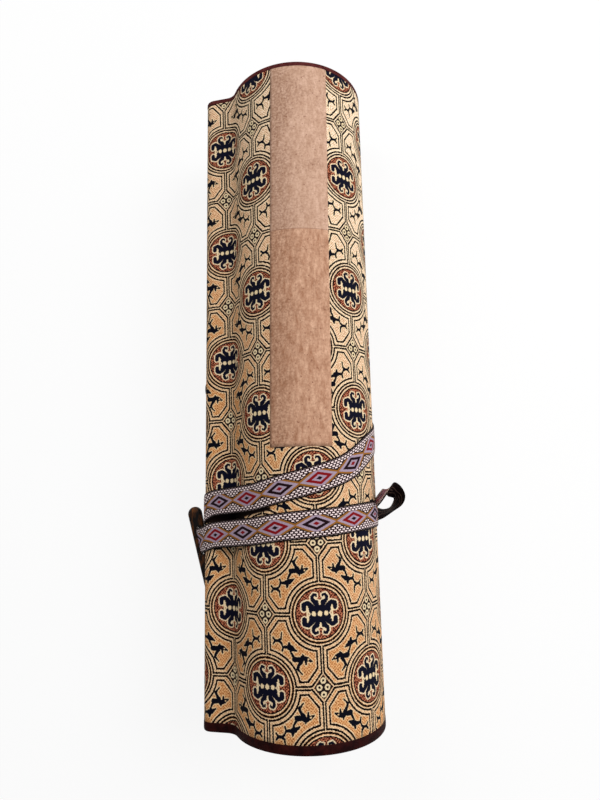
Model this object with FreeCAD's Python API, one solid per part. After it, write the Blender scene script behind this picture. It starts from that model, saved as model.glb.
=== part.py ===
import FreeCAD, Part
import math
import os
from FreeCAD import Vector

# A handscroll, rolled up and tied: paper turns on a wooden roller, a brocade cover with a stave
# in its leading hem, a title slip, narrow edge bindings, and a woven ribbon with a peg.
# The roll lies along Y. Its far end points to +Y, the slip faces up, and the floor is Z = 0.
# X = 0 is the roll's axis. Lengths are in millimetres, angles in degrees.

# Overall roll
scroll_length = 330.0
roll_radius = 36.3
flat_depth = 0.5

# Cover sheet and the flap at its leading edge
cover_thickness = 1.2
turn_clearance = 0.15
flap_overhang = 12.2
flap_height = 18.2
nose_radius = 5.0
valley_radius = 7.0
hem_corner_radius = 2.2
hem_gap = 0.64
cover_tail_angle = -45.0

# Stave in the hem
stave_clearance = 0.1

# Edge bindings
binding_thickness = 0.35
binding_width_top = 2.6
binding_width_bottom = 4.2

# Paper turns and roller
paper_thickness = 1.8
paper_gap = 0.35
paper_half_turns = 26
roller_clearance = 0.1

# Title slip
slip_width = 29.6
slip_length = 196.8
slip_thickness = 0.3
slip_clearance = 0.02
slip_centre_angle = 15.4
slip_tilt = 0.85

# Ribbon
ribbon_width = 12.8
ribbon_thickness = 0.7
ribbon_clearance = 0.1
ribbon_step = 7.5
ribbon_start_turn = -20.0
ribbon_leave_turn = 322.0

# Peg on the ribbon's end
peg_length = 58.0
peg_head_width = 7.6
peg_tip_width = 5.0
peg_thickness = 3.4
peg_edge_bevel = 0.9
peg_head_out = 14.7
peg_head_down = 26.8
peg_slant = 13.7
peg_clearance = 0.1
peg_slot_distance = 17.6
peg_slot_length = 14.6
peg_slot_width = 1.7
ribbon_tail = 6.0

half_length = scroll_length / 2
axis_height = roll_radius - flat_depth
flap_reach = roll_radius + flap_overhang
nose_x = -(flap_reach - nose_radius)
nose_z = flap_height - nose_radius
hem_inner_reach = hem_gap + math.sqrt(roll_radius ** 2 - (flap_height - 2 * nose_radius) ** 2)
valley_z = flap_height + valley_radius
valley_x = -math.sqrt((roll_radius + valley_radius) ** 2 - valley_z ** 2)
slip_end_y = half_length - binding_width_top - slip_length


def on_circle(radius, clock_angle, centre_x=0.0, centre_z=0.0):
    """A point of the section, with the angle counted clockwise from straight up."""
    turn = math.radians(clock_angle)
    return Vector(centre_x + radius * math.sin(turn), 0, centre_z + radius * math.cos(turn))


def clock_angle_of(point, centre_x=0.0, centre_z=0.0):
    return math.degrees(math.atan2(point.x - centre_x, point.z - centre_z))


def arc_between(radius, start, end, centre_x=0.0, centre_z=0.0):
    """An arc of the section from one clock angle to another, either way round."""
    middle = (start + end) / 2
    points = [on_circle(radius, angle, centre_x, centre_z) for angle in (start, middle, end)]
    return Part.Arc(*points).toShape()


def straight(first, second):
    return Part.LineSegment(first, second).toShape()


def raise_to_floor(shape):
    """The section is drawn about the roll's axis, and the finished piece stands on the floor."""
    lifted = shape.copy()
    lifted.translate(Vector(0, 0, axis_height))
    return lifted


def extrude_along_roll(face, low_y, high_y):
    solid = face.extrude(Vector(0, high_y - low_y, 0))
    solid.translate(Vector(0, low_y, 0))
    return solid


class TailArc:
    """The cover's last stretch, which shrinks from the full radius to pass under the flap."""

    def __init__(self):
        start = on_circle(roll_radius, 180 + math.degrees(math.acos(axis_height / roll_radius)))
        end_radius = roll_radius - cover_thickness - turn_clearance
        end = on_circle(end_radius, cover_tail_angle)
        halfway = (clock_angle_of(start) + cover_tail_angle) / 2
        middle = on_circle((roll_radius + end_radius) / 2, halfway)
        curve = Part.Arc(start, middle, end).toShape().Curve
        self.x = curve.Center.x
        self.z = curve.Center.z
        self.radius = curve.Radius
        self.end_angle = clock_angle_of(end, self.x, self.z)


tail = TailArc()


def cover_line(depth):
    """The cover's section at a depth below its outer face, from the hem to the hidden tail."""
    flap_top = flap_height - depth
    flap_bottom = flap_height - 2 * nose_radius + depth
    hem_x = -hem_inner_reach - depth
    corner_x = -hem_inner_reach - hem_corner_radius
    corner_z = flap_height - 2 * nose_radius + hem_corner_radius
    hem_top = flap_height - cover_thickness - stave_clearance
    valley_angle = clock_angle_of(Vector(valley_x, 0, valley_z))
    flat_z = -axis_height + depth
    right_flat_x = math.sqrt((roll_radius - depth) ** 2 - flat_z ** 2)
    left_drop = flat_z - tail.z
    left_flat_x = tail.x - math.sqrt((tail.radius - depth) ** 2 - left_drop ** 2)
    right_flat = Vector(right_flat_x, 0, flat_z)
    left_flat = Vector(left_flat_x, 0, flat_z)
    left_angle = clock_angle_of(left_flat, tail.x, tail.z)
    return [
        straight(Vector(hem_x, 0, hem_top), Vector(hem_x, 0, corner_z)),
        arc_between(hem_corner_radius - depth, 90, 180, corner_x, corner_z),
        straight(Vector(corner_x, 0, flap_bottom), Vector(nose_x, 0, flap_bottom)),
        arc_between(nose_radius - depth, 180, 360, nose_x, nose_z),
        straight(Vector(nose_x, 0, flap_top), Vector(valley_x, 0, flap_top)),
        arc_between(valley_radius + depth, 180, valley_angle + 180, valley_x, valley_z),
        arc_between(roll_radius - depth, valley_angle, clock_angle_of(right_flat)),
        straight(right_flat, left_flat),
        arc_between(tail.radius - depth, left_angle, tail.end_angle, tail.x, tail.z),
    ]


def cover_band(outer_depth, inner_depth):
    """The closed section between two depths of the cover."""
    outer = cover_line(outer_depth)
    inner = cover_line(inner_depth)
    hem_end = straight(outer[0].Vertexes[0].Point, inner[0].Vertexes[0].Point)
    tail_outer = on_circle(tail.radius - outer_depth, tail.end_angle, tail.x, tail.z)
    tail_inner = on_circle(tail.radius - inner_depth, tail.end_angle, tail.x, tail.z)
    tail_end = straight(tail_outer, tail_inner)
    edges = Part.sortEdges(outer + [tail_end] + inner + [hem_end])[0]
    return Part.Face(Part.Wire(edges))


def make_binding(width, end_sign):
    """A narrow strip let into the cover's outer face, which also covers the cut edge."""
    outer_y = end_sign * half_length
    skin_low, skin_high = sorted((outer_y, outer_y - end_sign * width))
    cap_low, cap_high = sorted((outer_y, outer_y - end_sign * binding_thickness))
    skin = extrude_along_roll(cover_band(0, binding_thickness), skin_low, skin_high)
    cap = extrude_along_roll(cover_band(0, cover_thickness), cap_low, cap_high)
    return raise_to_floor(skin.fuse(cap).removeSplitter())


def make_cover(bindings, ribbon):
    sheet = extrude_along_roll(cover_band(0, cover_thickness), -half_length, half_length)
    return raise_to_floor(sheet).cut(bindings + [ribbon]).removeSplitter()


def make_stave():
    """A half-round wooden stave: rounded towards the flap's nose, flat towards the roll."""
    half_height = nose_radius - cover_thickness - stave_clearance
    flat_x = -hem_inner_reach - cover_thickness - stave_clearance
    bottom = nose_z - half_height
    top = nose_z + half_height
    soft = hem_corner_radius - cover_thickness
    edges = [
        arc_between(half_height, 180, 360, nose_x, nose_z),
        straight(Vector(nose_x, 0, top), Vector(flat_x - soft, 0, top)),
        arc_between(soft, 0, 90, flat_x - soft, top - soft),
        straight(Vector(flat_x, 0, top - soft), Vector(flat_x, 0, bottom + soft)),
        arc_between(soft, 90, 180, flat_x - soft, bottom + soft),
        straight(Vector(flat_x - soft, 0, bottom), Vector(nose_x, 0, bottom)),
    ]
    face = Part.Face(Part.Wire(Part.sortEdges(edges)[0]))
    return raise_to_floor(extrude_along_roll(face, -half_length, half_length))


class Turns:
    """Radii and centres of the paper's half turns, which run inwards from the cover's tail."""

    def __init__(self):
        self.pitch = paper_thickness + paper_gap
        self.shift = self.pitch / 4
        first = roll_radius - cover_thickness - turn_clearance - self.shift
        self.radii = [first - step * 2 * self.shift for step in range(paper_half_turns)]
        away = on_circle(self.shift, cover_tail_angle)
        self.centres = [away if step % 2 == 0 else away * -1 for step in range(paper_half_turns)]
        self.starts = [cover_tail_angle + 180 * step for step in range(paper_half_turns)]

    def face_line(self, depth):
        edges = []
        for radius, centre, start in zip(self.radii, self.centres, self.starts):
            edges.append(arc_between(radius - depth, start, start + 180, centre.x, centre.z))
        return edges

    def end_point(self, step, angle, depth):
        centre = self.centres[step]
        return on_circle(self.radii[step] - depth, angle, centre.x, centre.z)


turns = Turns()


def make_roll():
    """All the paper turns as one spiral wall."""
    last = paper_half_turns - 1
    last_angle = turns.starts[last] + 180
    outer_cut = straight(turns.end_point(0, cover_tail_angle, 0),
                         turns.end_point(0, cover_tail_angle, paper_thickness))
    inner_cut = straight(turns.end_point(last, last_angle, 0),
                         turns.end_point(last, last_angle, paper_thickness))
    edges = turns.face_line(0) + [inner_cut] + turns.face_line(paper_thickness) + [outer_cut]
    face = Part.Face(Part.Wire(Part.sortEdges(edges)[0]))
    return raise_to_floor(extrude_along_roll(face, -half_length, half_length))


def make_roller():
    """The plain wooden rod that the paper's inner end is wound on."""
    centre = turns.centres[-1]
    radius = turns.radii[-1] - paper_thickness - roller_clearance
    base = Vector(centre.x, -half_length, centre.z)
    return raise_to_floor(Part.makeCylinder(radius, scroll_length, base, Vector(0, 1, 0)))


def make_title_slip():
    """A bare paper slip pasted on the cover beside the leading edge, a little out of square."""
    inner_radius = roll_radius + slip_clearance
    outer_radius = inner_radius + slip_thickness
    top_y = half_length - binding_width_top
    shell = Part.makeCylinder(outer_radius, scroll_length, Vector(0, -half_length, 0), Vector(0, 1, 0))
    core = Part.makeCylinder(inner_radius, scroll_length, Vector(0, -half_length, 0), Vector(0, 1, 0))
    half_angle = math.degrees(slip_width / 2 / roll_radius)
    drift = math.degrees(slip_length * math.tan(math.radians(slip_tilt)) / roll_radius)
    corners = [
        (slip_centre_angle - half_angle, top_y),
        (slip_centre_angle + half_angle, top_y),
        (slip_centre_angle + half_angle - drift, top_y - slip_length),
        (slip_centre_angle - half_angle - drift, top_y - slip_length),
    ]

    def outline(radius):
        points = []
        for angle, y in corners:
            points.append(on_circle(radius, angle) + Vector(0, y, 0))
        return Part.makePolygon(points + points[:1])

    wedge = Part.makeLoft([outline(inner_radius / 2), outline(outer_radius * 1.5)], True, True)
    return raise_to_floor(shell.cut(core).common(wedge))


# Distances below the slip's end that the middle of the ribbon passes, by the path's own turn
# angle: 0 is the left side at the start, 90 the floor, 180 the right side, 270 the top. They
# follow the way the ribbon lies: steep as it climbs the first side, then slacker over the top.
first_pass_places = (
    (0, -40.4), (90, -24.4), (187, -3.4), (203, 1.4), (217, 7.5),
    (231, 11.7), (267, 17.9), (314, 23.6), (360, 26.6),
)
second_pass_places = (
    (0, 26.6), (90, 29.2), (140, 30.6), (200, 32.1),
    (232, 33.9), (268, 35.7), (314, 38.6), (352, 43.2),
)

# The loose bight on the right. Each place is a clock angle, a distance out from the wound
# ribbon's middle and a distance below the slip's end, with the way that the width points.
bight_places = (
    ((100.2, -0.0, 32.0), (-0.155, 0.5, -0.86)),
    ((98.9, 3.2, 31.9), (-0.12, 0.3, -0.94)),
    ((96.3, 7.1, 30.0), (-0.2, 0.12, -0.97)),
    ((93.0, 10.3, 27.0), (-0.4, 0.1, -0.9)),
    ((89.4, 11.4, 24.0), (-0.5, -0.08, -0.86)),
    ((86.1, 10.3, 21.2), (-0.45, -0.3, -0.84)),
    ((82.5, 7.5, 19.9), (-0.27, -0.52, -0.81)),
    ((79.0, 5.2, 20.8), (0.03, -0.24, -0.97)),
    ((76.4, 2.8, 23.4), (0.1, -0.1, -0.99)),
    ((74.6, 0.1, 26.8), (0.26, 0.12, -0.96)),
)


def interpolate(places, angle):
    """A place between the listed ones, on a smooth curve through them."""
    angles = [place[0] for place in places]
    values = [place[1] for place in places]
    last = len(places) - 1
    slopes = []
    for index in range(len(places)):
        before = max(index - 1, 0)
        after = min(index + 1, last)
        slopes.append((values[after] - values[before]) / (angles[after] - angles[before]))
    span = 0
    while span < last - 1 and angle > angles[span + 1]:
        span += 1
    width = angles[span + 1] - angles[span]
    part = (angle - angles[span]) / width
    start_share = (1 + 2 * part) * (1 - part) ** 2
    end_share = part ** 2 * (3 - 2 * part)
    start_pull = part * (1 - part) ** 2 * width
    end_pull = part ** 2 * (part - 1) * width
    return (values[span] * start_share + values[span + 1] * end_share
            + slopes[span] * start_pull + slopes[span + 1] * end_pull)


class RibbonPath:
    """The taut line round the roll and over the flap's nose, in the plane of the section."""

    def __init__(self):
        stand_off = ribbon_clearance + ribbon_thickness / 2
        self.roll = roll_radius + stand_off
        self.nose = nose_radius + stand_off
        distance = math.hypot(nose_x, nose_z)
        lean = clock_angle_of(Vector(nose_x, 0, nose_z))
        spread = math.degrees(math.acos((self.roll - self.nose) / distance))
        self.upper = lean + spread
        self.lower = lean - spread

    def station(self, turn_angle):
        """Point and outward direction; 0 is the left side, 90 the floor, 180 the right side."""
        clock = (270 - turn_angle) % 360
        if clock > 180:
            clock -= 360
        if clock >= self.upper or clock <= self.lower:
            return on_circle(self.roll, clock), on_circle(1, clock)
        return on_circle(self.nose, clock, nose_x, nose_z), on_circle(1, clock)

    def angles(self, start, end):
        """Turn angles between two limits, with both tangent points of each straight run."""
        marks = {start, end}
        count = int((end - start) // ribbon_step)
        marks.update(start + ribbon_step * step for step in range(1, count + 1))
        for tangent in (self.upper, self.lower):
            for full_turn in (0, 360):
                for side in (-0.01, 0.01):
                    mark = (270 - tangent) % 360 - 360 + full_turn + side
                    if start < mark < end:
                        marks.add(mark)
        return sorted(marks)


path = RibbonPath()


def flat_section(point, outward, width_direction, width):
    """One cut through the ribbon, pressed flat where it would go below the floor."""
    half = Vector(*width_direction).normalize() * (width / 2)
    rise = Vector(outward).normalize() * (ribbon_thickness / 2)
    outer = [point + half + rise, point - half + rise]
    inner = [point - half - rise, point + half - rise]
    for corner in outer:
        corner.z = max(corner.z, -axis_height)
    for corner in inner:
        corner.z = max(corner.z, -axis_height + ribbon_thickness)
    corners = outer + inner
    return Part.makePolygon(corners + corners[:1])


def wound_sections(places, start, end):
    """Cuts along a stretch that lies on the roll, wider where the ribbon runs aslant."""
    sections = []
    for angle in path.angles(start, end):
        point, outward = path.station(angle)
        slope = (interpolate(places, angle + 1) - interpolate(places, angle - 1)) / 2
        rate = math.radians(1) * path.roll
        width = ribbon_width * math.hypot(slope, rate) / rate
        point.y = slip_end_y - interpolate(places, angle)
        sections.append(flat_section(point, outward, (0, 1, 0), width))
    return sections


def bight_sections():
    """Cuts along the stretch that stands free, square to the line through its neighbours."""
    middles = []
    for (clock_angle, stand_off, drop), _ in bight_places:
        middles.append(on_circle(path.roll + stand_off, clock_angle) + Vector(0, slip_end_y - drop, 0))
    last = len(middles) - 1
    sections = []
    for index, (_, width_direction) in enumerate(bight_places):
        heading = middles[min(index + 1, last)] - middles[max(index - 1, 0)]
        outward = Vector(*width_direction).cross(heading)
        sections.append(flat_section(middles[index], outward, width_direction, ribbon_width))
    return sections


def peg_point(distance, aside=0.0):
    """A place on the peg's middle line, counted from the end of its head."""
    slant = math.radians(peg_slant)
    along = Vector(math.sin(slant), -math.cos(slant), 0)
    across = Vector(math.cos(slant), math.sin(slant), 0)
    head = Vector(nose_x - peg_head_out, slip_end_y - peg_head_down, 0)
    return head + along * distance + across * aside


peg_top = flap_height - 2 * nose_radius - peg_clearance
peg_bottom = peg_top - peg_thickness


def ribbon_end_sections():
    """The ribbon leaves the flap's nose, goes down through the peg's slot and turns back."""
    slot = peg_point(peg_slot_distance)
    width_direction = peg_point(0) - peg_point(1)
    under = peg_bottom - ribbon_thickness / 2 - peg_clearance
    bend = ribbon_thickness
    middles = [
        (slot.x, slot.y, peg_top + bend),
        (slot.x, slot.y, under + bend),
        (slot.x + bend, slot.y, under),
        (slot.x + ribbon_tail, slot.y, under),
    ]
    outwards = [(-1, 0, 0.35), (-1, 0, -0.3), (-0.3, 0, -1), (0, 0, -1)]
    sections = []
    for middle, outward in zip(middles, outwards):
        sections.append(flat_section(Vector(*middle), Vector(*outward), width_direction, ribbon_width))
    return sections


def make_ribbon():
    """Two turns round the roll, the end on the peg, and the loose bight at the side."""
    first = wound_sections(first_pass_places, ribbon_start_turn, 360)
    second = wound_sections(second_pass_places, 0, ribbon_leave_turn)
    wound = Part.makeLoft(first + second[1:] + ribbon_end_sections(), True, True)
    bight = Part.makeLoft(bight_sections(), True, True)
    return raise_to_floor(wound.fuse(bight))


def make_peg():
    """A tapered peg with rounded ends, bevelled edges and a slot for the ribbon's end."""
    half_head = peg_head_width / 2
    half_tip = peg_tip_width / 2
    head_left = peg_point(half_head, -half_head)
    head_right = peg_point(half_head, half_head)
    tip_left = peg_point(peg_length - half_tip, -half_tip)
    tip_right = peg_point(peg_length - half_tip, half_tip)
    edges = [
        Part.Arc(head_left, peg_point(0), head_right).toShape(),
        straight(head_right, tip_right),
        Part.Arc(tip_right, peg_point(peg_length), tip_left).toShape(),
        straight(tip_left, head_left),
    ]
    body = Part.Face(Part.Wire(edges)).extrude(Vector(0, 0, peg_thickness))
    rims = [edge for edge in body.Edges if abs(edge.Vertexes[0].Z - edge.Vertexes[-1].Z) < 0.001]
    body = body.makeChamfer(peg_edge_bevel, rims)
    half_slot = peg_slot_length / 2
    slot_points = [
        peg_point(peg_slot_distance - half_slot, -peg_slot_width / 2),
        peg_point(peg_slot_distance - half_slot, peg_slot_width / 2),
        peg_point(peg_slot_distance + half_slot, peg_slot_width / 2),
        peg_point(peg_slot_distance + half_slot, -peg_slot_width / 2),
    ]
    slot = Part.Face(Part.makePolygon(slot_points + slot_points[:1]))
    body = body.cut(slot.extrude(Vector(0, 0, peg_thickness)))
    body.translate(Vector(0, 0, peg_bottom))
    return raise_to_floor(body)


def main():
    ribbon = make_ribbon()
    bottom_binding = make_binding(binding_width_bottom, -1)
    top_binding = make_binding(binding_width_top, 1)
    pieces = {
        "roll": make_roll(),
        "roller": make_roller(),
        "cover": make_cover([bottom_binding, top_binding], ribbon),
        "stave": make_stave(),
        "top_binding": top_binding,
        "bottom_binding": bottom_binding,
        "title_slip": make_title_slip(),
        "ribbon": ribbon,
        "peg": make_peg(),
    }
    os.makedirs("parts", exist_ok=True)
    for name, shape in pieces.items():
        solids = len(shape.Solids)
        print(f"{name}: solids {solids}, valid {shape.isValid()}, volume {shape.Volume:.0f}")
        shape.exportStep(f"parts/{name}.step")


main()
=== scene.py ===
# %% [markdown]
# A rolled handscroll lies on a table, seen almost from straight above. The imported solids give
# every size, and this file dresses them: woven brocade, silk edge strips, an aged paper slip, a
# patterned ribbon with its peg, wood, and the fine turns of paper at the two ends.

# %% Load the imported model
import math

import bpy
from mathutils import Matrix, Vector


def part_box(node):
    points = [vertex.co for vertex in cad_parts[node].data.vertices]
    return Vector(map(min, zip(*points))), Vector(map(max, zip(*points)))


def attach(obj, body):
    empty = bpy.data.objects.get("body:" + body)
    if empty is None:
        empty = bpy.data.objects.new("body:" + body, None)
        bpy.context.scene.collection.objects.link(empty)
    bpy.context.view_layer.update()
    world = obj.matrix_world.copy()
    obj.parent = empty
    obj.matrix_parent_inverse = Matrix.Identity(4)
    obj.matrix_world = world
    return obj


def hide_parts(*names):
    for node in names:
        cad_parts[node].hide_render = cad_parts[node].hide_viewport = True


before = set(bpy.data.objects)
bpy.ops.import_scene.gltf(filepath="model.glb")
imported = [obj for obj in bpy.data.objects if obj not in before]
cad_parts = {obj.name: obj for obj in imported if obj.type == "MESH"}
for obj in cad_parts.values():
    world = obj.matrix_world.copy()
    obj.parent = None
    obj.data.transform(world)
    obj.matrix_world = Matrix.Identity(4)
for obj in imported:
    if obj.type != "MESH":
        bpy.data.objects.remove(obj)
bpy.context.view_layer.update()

# %% [markdown]
# The section of the roll is drawn in millimetres about the roll's axis, because a maker thinks of
# radii there. One helper moves a point of it to the scene, where the floor is at zero.

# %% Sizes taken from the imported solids
MM = 0.001


def reach(node, axis):
    low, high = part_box(node)
    return low[axis] / MM, high[axis] / MM


cover_x = reach("cover", 0)
cover_z = reach("cover", 2)
roll_radius = cover_x[1]
axis_height = cover_z[1] - roll_radius
half_length = reach("roll", 1)[1]
top_binding_width = half_length - reach("top_binding", 1)[0]
bottom_binding_width = half_length + reach("bottom_binding", 1)[1]
flap_reach = -cover_x[0]
print("roll radius", roll_radius, "axis height", axis_height, "half length", half_length)


def in_scene(x, y, z):
    return Vector((x * MM, y * MM, (z + axis_height) * MM))


def on_circle(radius, clock, centre_x=0.0, centre_z=0.0):
    """A point (x, z) of the section, with the angle counted clockwise from straight up."""
    turn = math.radians(clock)
    return centre_x + radius * math.sin(turn), centre_z + radius * math.cos(turn)


# %% [markdown]
# The camera comes first, since every comparison with the photograph needs it. It stands above the
# right-hand side and looks down at a slant, so the roll tapers towards its far end.

# %% Camera
LENS = 25.76
CAMERA_PLACE = (0.06498, -0.05814, 0.2914)
CAMERA_TURN = (9.49, 13.014, -1.295)

camera_data = bpy.data.cameras.new("camera")
camera_data.sensor_width = 36.0
camera_data.lens = LENS
camera_data.clip_start = 0.01
camera = bpy.data.objects.new("camera", camera_data)
camera.location = (*CAMERA_PLACE[:2], CAMERA_PLACE[2] + axis_height * MM)
camera.rotation_euler = [math.radians(angle) for angle in CAMERA_TURN]
bpy.context.collection.objects.link(camera)
bpy.context.scene.camera = camera
bpy.context.scene.view_settings.view_transform = "Standard"
print("camera at", tuple(camera.location))

# %% [markdown]
# Most pieces here are strips or sheets that follow a line, with the same closed outline at each
# step. So one helper joins rings of points into a closed skin, and gives it its UV maps: one that
# carries the pattern in millimetres, and where it is wanted one that lays the faces out for baking.

# %% Helper: join rings into a closed skin


def loft(name, rings, maps, material):
    """maps has, for each UV map, a function of the ring's and the point's number."""
    size = len(rings[0])
    points = [point for ring in rings for point in ring]
    faces = []
    corners = []
    for step in range(len(rings) - 1):
        for k in range(size):
            after = (k + 1) % size
            low = step * size
            high = low + size
            faces.append((low + k, low + after, high + after, high + k))
            corners.append(((step, k), (step, k + 1), (step + 1, k + 1), (step + 1, k)))
    last = (len(rings) - 1) * size
    faces.append(tuple(range(size))[::-1])
    corners.append(tuple((0, k) for k in range(size))[::-1])
    faces.append(tuple(last + k for k in range(size)))
    corners.append(tuple((len(rings) - 1, k) for k in range(size)))
    mesh = bpy.data.meshes.new(name)
    mesh.from_pydata(points, [], faces)
    for label, place in maps.items():
        layer = mesh.uv_layers.new(name=label)
        flat = [place(*corner) for face in corners for corner in face]
        layer.data.foreach_set("uv", [value for pair in flat for value in pair])
    mesh.polygons.foreach_set("use_smooth", [True] * len(faces))
    mesh.materials.append(material)
    mesh.validate()
    piece = bpy.data.objects.new(name, mesh)
    bpy.context.collection.objects.link(piece)
    if signed_volume(mesh) < 0:
        mesh.flip_normals()
    print(name, "faces", len(mesh.polygons))
    return piece


def signed_volume(mesh):
    total = 0.0
    for face in mesh.polygons:
        first = mesh.vertices[face.vertices[0]].co
        for k in range(1, len(face.vertices) - 1):
            second = mesh.vertices[face.vertices[k]].co
            third = mesh.vertices[face.vertices[k + 1]].co
            total += first.dot(second.cross(third))
    return total / 6


# %% [markdown]
# Shader maths is easier to read as sums than as boxes and wires. A Value holds one socket, and
# Python's own operators on it place the Math nodes. A Board is a node tree with the few methods
# that put nodes in it, and it serves materials, the world and Geometry Nodes alike.

# %% Helper: shader maths


class Value:
    """One output socket of a node tree."""

    def __init__(self, board, socket):
        self.board = board
        self.socket = socket

    def of(self, name):
        """Another output of the same node."""
        return Value(self.board, self.socket.node.outputs[name])

    def __add__(self, other):
        return self.board.math("ADD", self, other)

    def __sub__(self, other):
        return self.board.math("SUBTRACT", self, other)

    def __mul__(self, other):
        return self.board.math("MULTIPLY", self, other)

    def __truediv__(self, other):
        return self.board.math("DIVIDE", self, other)

    def __rsub__(self, other):
        return self.board.math("SUBTRACT", other, self)

    def __neg__(self):
        return self.board.math("MULTIPLY", self, -1.0)

    __radd__ = __add__
    __rmul__ = __mul__


class Board:
    """The node tree of a material, of the world or of Geometry Nodes."""

    def __init__(self, owner, specular=0.5):
        self.owner = owner
        self.specular = specular
        self.tree = owner
        if not isinstance(owner, bpy.types.NodeTree):
            owner.use_nodes = True
            self.tree = owner.node_tree
            self.tree.nodes.clear()

    def add(self, kind, settings=None, inputs=None, give=0):
        node = self.tree.nodes.new(kind)
        for key, value in (settings or {}).items():
            if key == "stops":
                self.set_stops(node.color_ramp, value)
            else:
                setattr(node, key, value)
        for key, value in (inputs or {}).items():
            if isinstance(value, Value):
                self.tree.links.new(value.socket, node.inputs[key])
            else:
                node.inputs[key].default_value = value
        return Value(self, node.outputs[give]) if node.outputs else None

    def set_stops(self, ramp, stops):
        while len(ramp.elements) < len(stops):
            ramp.elements.new(1.0)
        for element, (place, colour) in zip(ramp.elements, stops):
            element.position = place
            element.color = colour

    def place(self):
        """The place on the object, in metres."""
        return self.add("ShaderNodeTexCoord", give="Object")

    def uv(self, name):
        return self.add("ShaderNodeUVMap", {"uv_map": name})

    def parts(self, vector):
        """The vector's X, with its Y and Z as the other outputs."""
        return self.add("ShaderNodeSeparateXYZ", {}, {0: vector})

    def joined(self, x=0.0, y=0.0, z=0.0):
        return self.add("ShaderNodeCombineXYZ", {}, {0: x, 1: y, 2: z})

    def math(self, operation, *numbers, clamp=False):
        settings = {"operation": operation, "use_clamp": clamp}
        return self.add("ShaderNodeMath", settings, dict(enumerate(numbers)))

    def fit(self, value, slope, start, clamp=False):
        """The value times the slope, plus the start."""
        return self.math("MULTIPLY_ADD", value, slope, start, clamp=clamp)

    def smaller(self, *values):
        least = values[0]
        for value in values[1:]:
            least = self.math("MINIMUM", least, value)
        return least

    def larger(self, one, other):
        return self.math("MAXIMUM", one, other)

    def vector(self, operation, *inputs, give=0):
        settings = {"operation": operation}
        return self.add("ShaderNodeVectorMath", settings, dict(enumerate(inputs)), give)

    def dot(self, vector, other):
        return self.vector("DOT_PRODUCT", vector, other, give=1)

    def distance(self, vector, other):
        return self.vector("DISTANCE", vector, other, give=1)

    def scale(self, vector, amount):
        """A vector or colour times a number."""
        return self.add("ShaderNodeVectorMath", {"operation": "SCALE"}, {0: vector, 3: amount})

    def below(self, distance, limit, soft):
        """1 where the distance is under the limit, with a soft edge."""
        return self.fit(distance, -1.0 / soft, limit / soft + 0.5, clamp=True)

    def line(self, distance, place, half_width, soft):
        """1 on a line that runs where the distance has the given value."""
        return self.below(self.math("ABSOLUTE", distance - place), half_width, soft)

    def mix(self, under, over, mask):
        return self.add("ShaderNodeMix", {"data_type": "RGBA"}, {0: mask, 6: under, 7: over}, 2)

    def ramp(self, value, stops):
        return self.add("ShaderNodeValToRGB", {"stops": stops}, {0: value})

    def noise(self, place, scale, detail=3.0, roughness=0.5, give=0):
        inputs = {"Vector": place, "Scale": scale, "Detail": detail, "Roughness": roughness}
        return self.add("ShaderNodeTexNoise", {}, inputs, give)

    def wander(self, place, reach, scale, roughness=0.5):
        """The place moved about a little, up to half the reach each way."""
        moved = self.noise(place, scale, 2.0, roughness, give=1)
        back = tuple(-0.5 * share for share in reach)
        return self.vector("ADD", place, self.vector("MULTIPLY_ADD", moved, reach, back))

    def finish(self, colour, roughness, height, bump_distance, bump_strength):
        bump_inputs = {"Strength": bump_strength, "Distance": bump_distance, "Height": height}
        inputs = {
            "Base Color": colour, "Roughness": roughness, "Specular IOR Level": self.specular,
            "Normal": self.add("ShaderNodeBump", {}, bump_inputs),
        }
        surface = self.add("ShaderNodeBsdfPrincipled", {}, inputs)
        self.add("ShaderNodeOutputMaterial", {}, {"Surface": surface})
        return self.owner


def paint(red, green, blue):
    """A colour read off as it looks on screen, from 0 to 255, made linear for the shader."""
    linear = []
    for part in (red, green, blue):
        share = part / 255
        linear.append(share / 12.92 if share < 0.04045 else ((share + 0.055) / 1.055) ** 2.4)
    return (*linear, 1.0)


# %% [markdown]
# The cover is a brocade. Its weave repeats as a mirrored lattice, so the pattern only has to be
# described in one quarter cell: the place is folded back into it, and distances to a few lines,
# circles, lozenges and tapered strokes give every motif. It is drawn on the flat sheet, in
# millimetres, which is how it was woven before it was rolled.

# %% The brocade's lattice, in millimetres of the flat sheet
CELL_WIDTH = 25.34
CELL_HEIGHT = 30.24
CELL_START_ACROSS = -14.13
CELL_START_ALONG = 164.03
WEAVE_TURN = math.radians(1.29)
RING_RADIUS = 12.9
WEAVE_PITCH = 1.35
LOZENGE_ACROSS = 4.6
LOZENGE_ALONG = 5.6
BAR_NARROWING = 1.15
# Dark outlines: half their width, and how far they run from the bars, rings and lozenges
OUTLINE_HALF = 0.45
FIRST_LINE = 0.66
SECOND_LINE = 2.55
# The medallion's rings
BRICK_RADIUS = 10.75
PALE_RADIUS = 11.2
OUTER_RADIUS = 12.15
# The small rings in a lozenge, and a figure's eye
PETALS = ((1.75, 0.0, 0.0), (0.0, 2.8, 0.0))
PETAL_RADIUS = 0.9
EYE = (19.3, 11.6, 0.0)
EYE_RADIUS = 0.4

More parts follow.
